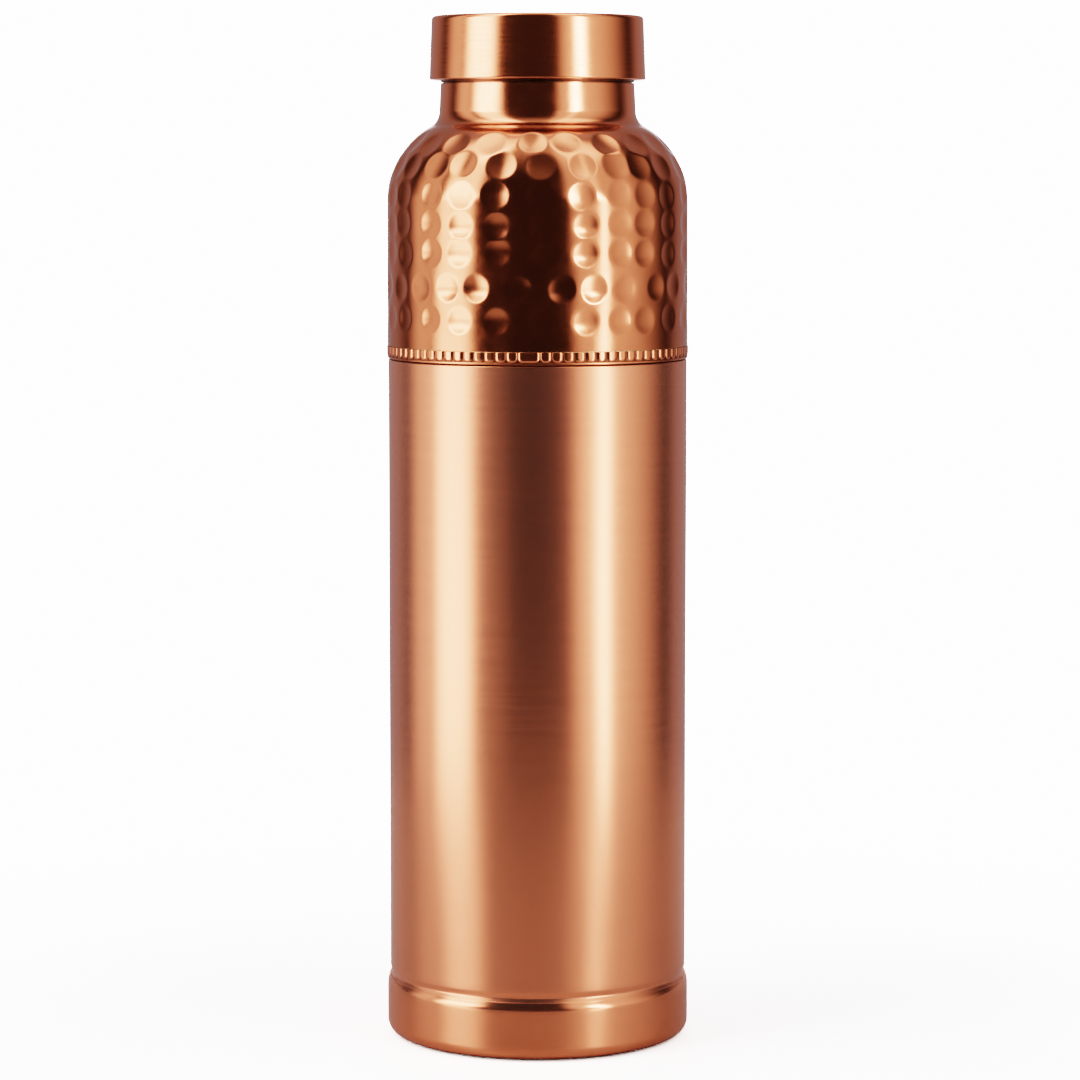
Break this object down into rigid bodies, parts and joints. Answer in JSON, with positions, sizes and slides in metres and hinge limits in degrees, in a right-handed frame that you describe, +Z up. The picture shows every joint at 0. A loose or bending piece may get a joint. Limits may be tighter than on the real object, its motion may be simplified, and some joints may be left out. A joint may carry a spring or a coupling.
{
  "type": "copper water bottle",
  "caption": "Tall round sheet-copper water bottle with a brushed barrel, hammered shoulder, beaded border, foot cup and screw lid.",
  "frame": {"origin": "middle of the foot's standing face, on the bottle's axis", "axes": "+Z up along the bottle's axis, from the foot to the lid; the beaded border's joint faces -Y"},
  "size_m": [0.0762, 0.0762, 0.2565],
  "materials": {
    "copper_brushed": "bare copper, satin, brushed round the barrel, clear-lacquered",
    "copper_hammered": "bare copper, polished, with rows of round planishing marks",
    "copper_polished": "bare copper, polished",
    "copper_beaded": "bare copper, polished on the beads, darker between them",
    "copper_spun": "bare copper, spun, satin on the band and polished on the lip",
    "copper_turned": "bare copper, as turned, with fine tool lines",
    "braze_alloy": "copper-silver brazing alloy, as flowed",
    "silicone": "translucent white silicone, matt"
  },
  "bodies": {
    "bottle": {"foot_cup": "copper_spun", "barrel_tube": "copper_brushed", "shoulder_shell": "copper_hammered", "bead_border": "copper_beaded", "neck_thread_ring": "copper_turned", "shoulder_braze": "braze_alloy", "foot_braze": "braze_alloy", "neck_braze": "braze_alloy"},
    "lid_seal": {"lid_seal": "silicone"},
    "lid": {"lid_shell": "copper_polished", "lid_thread_ring": "copper_turned", "lid_braze": "braze_alloy"}
  },
  "joints": [
    {"name": "lid_rise", "type": "slide", "parent": "bottle", "child": "lid_seal", "axis": [0, 0, 1], "range_m": [0, 0.01]},
    {"name": "lid_turn", "type": "hinge", "parent": "lid_seal", "child": "lid", "pos_m": [0, 0, 0.2401], "axis": [0, 0, 1], "range_deg": [0, 900]}
  ],
  "couplings": [
    {"joint": "lid_rise", "follows": "lid_turn", "m_per_rad": 0.00063662}
  ]
}
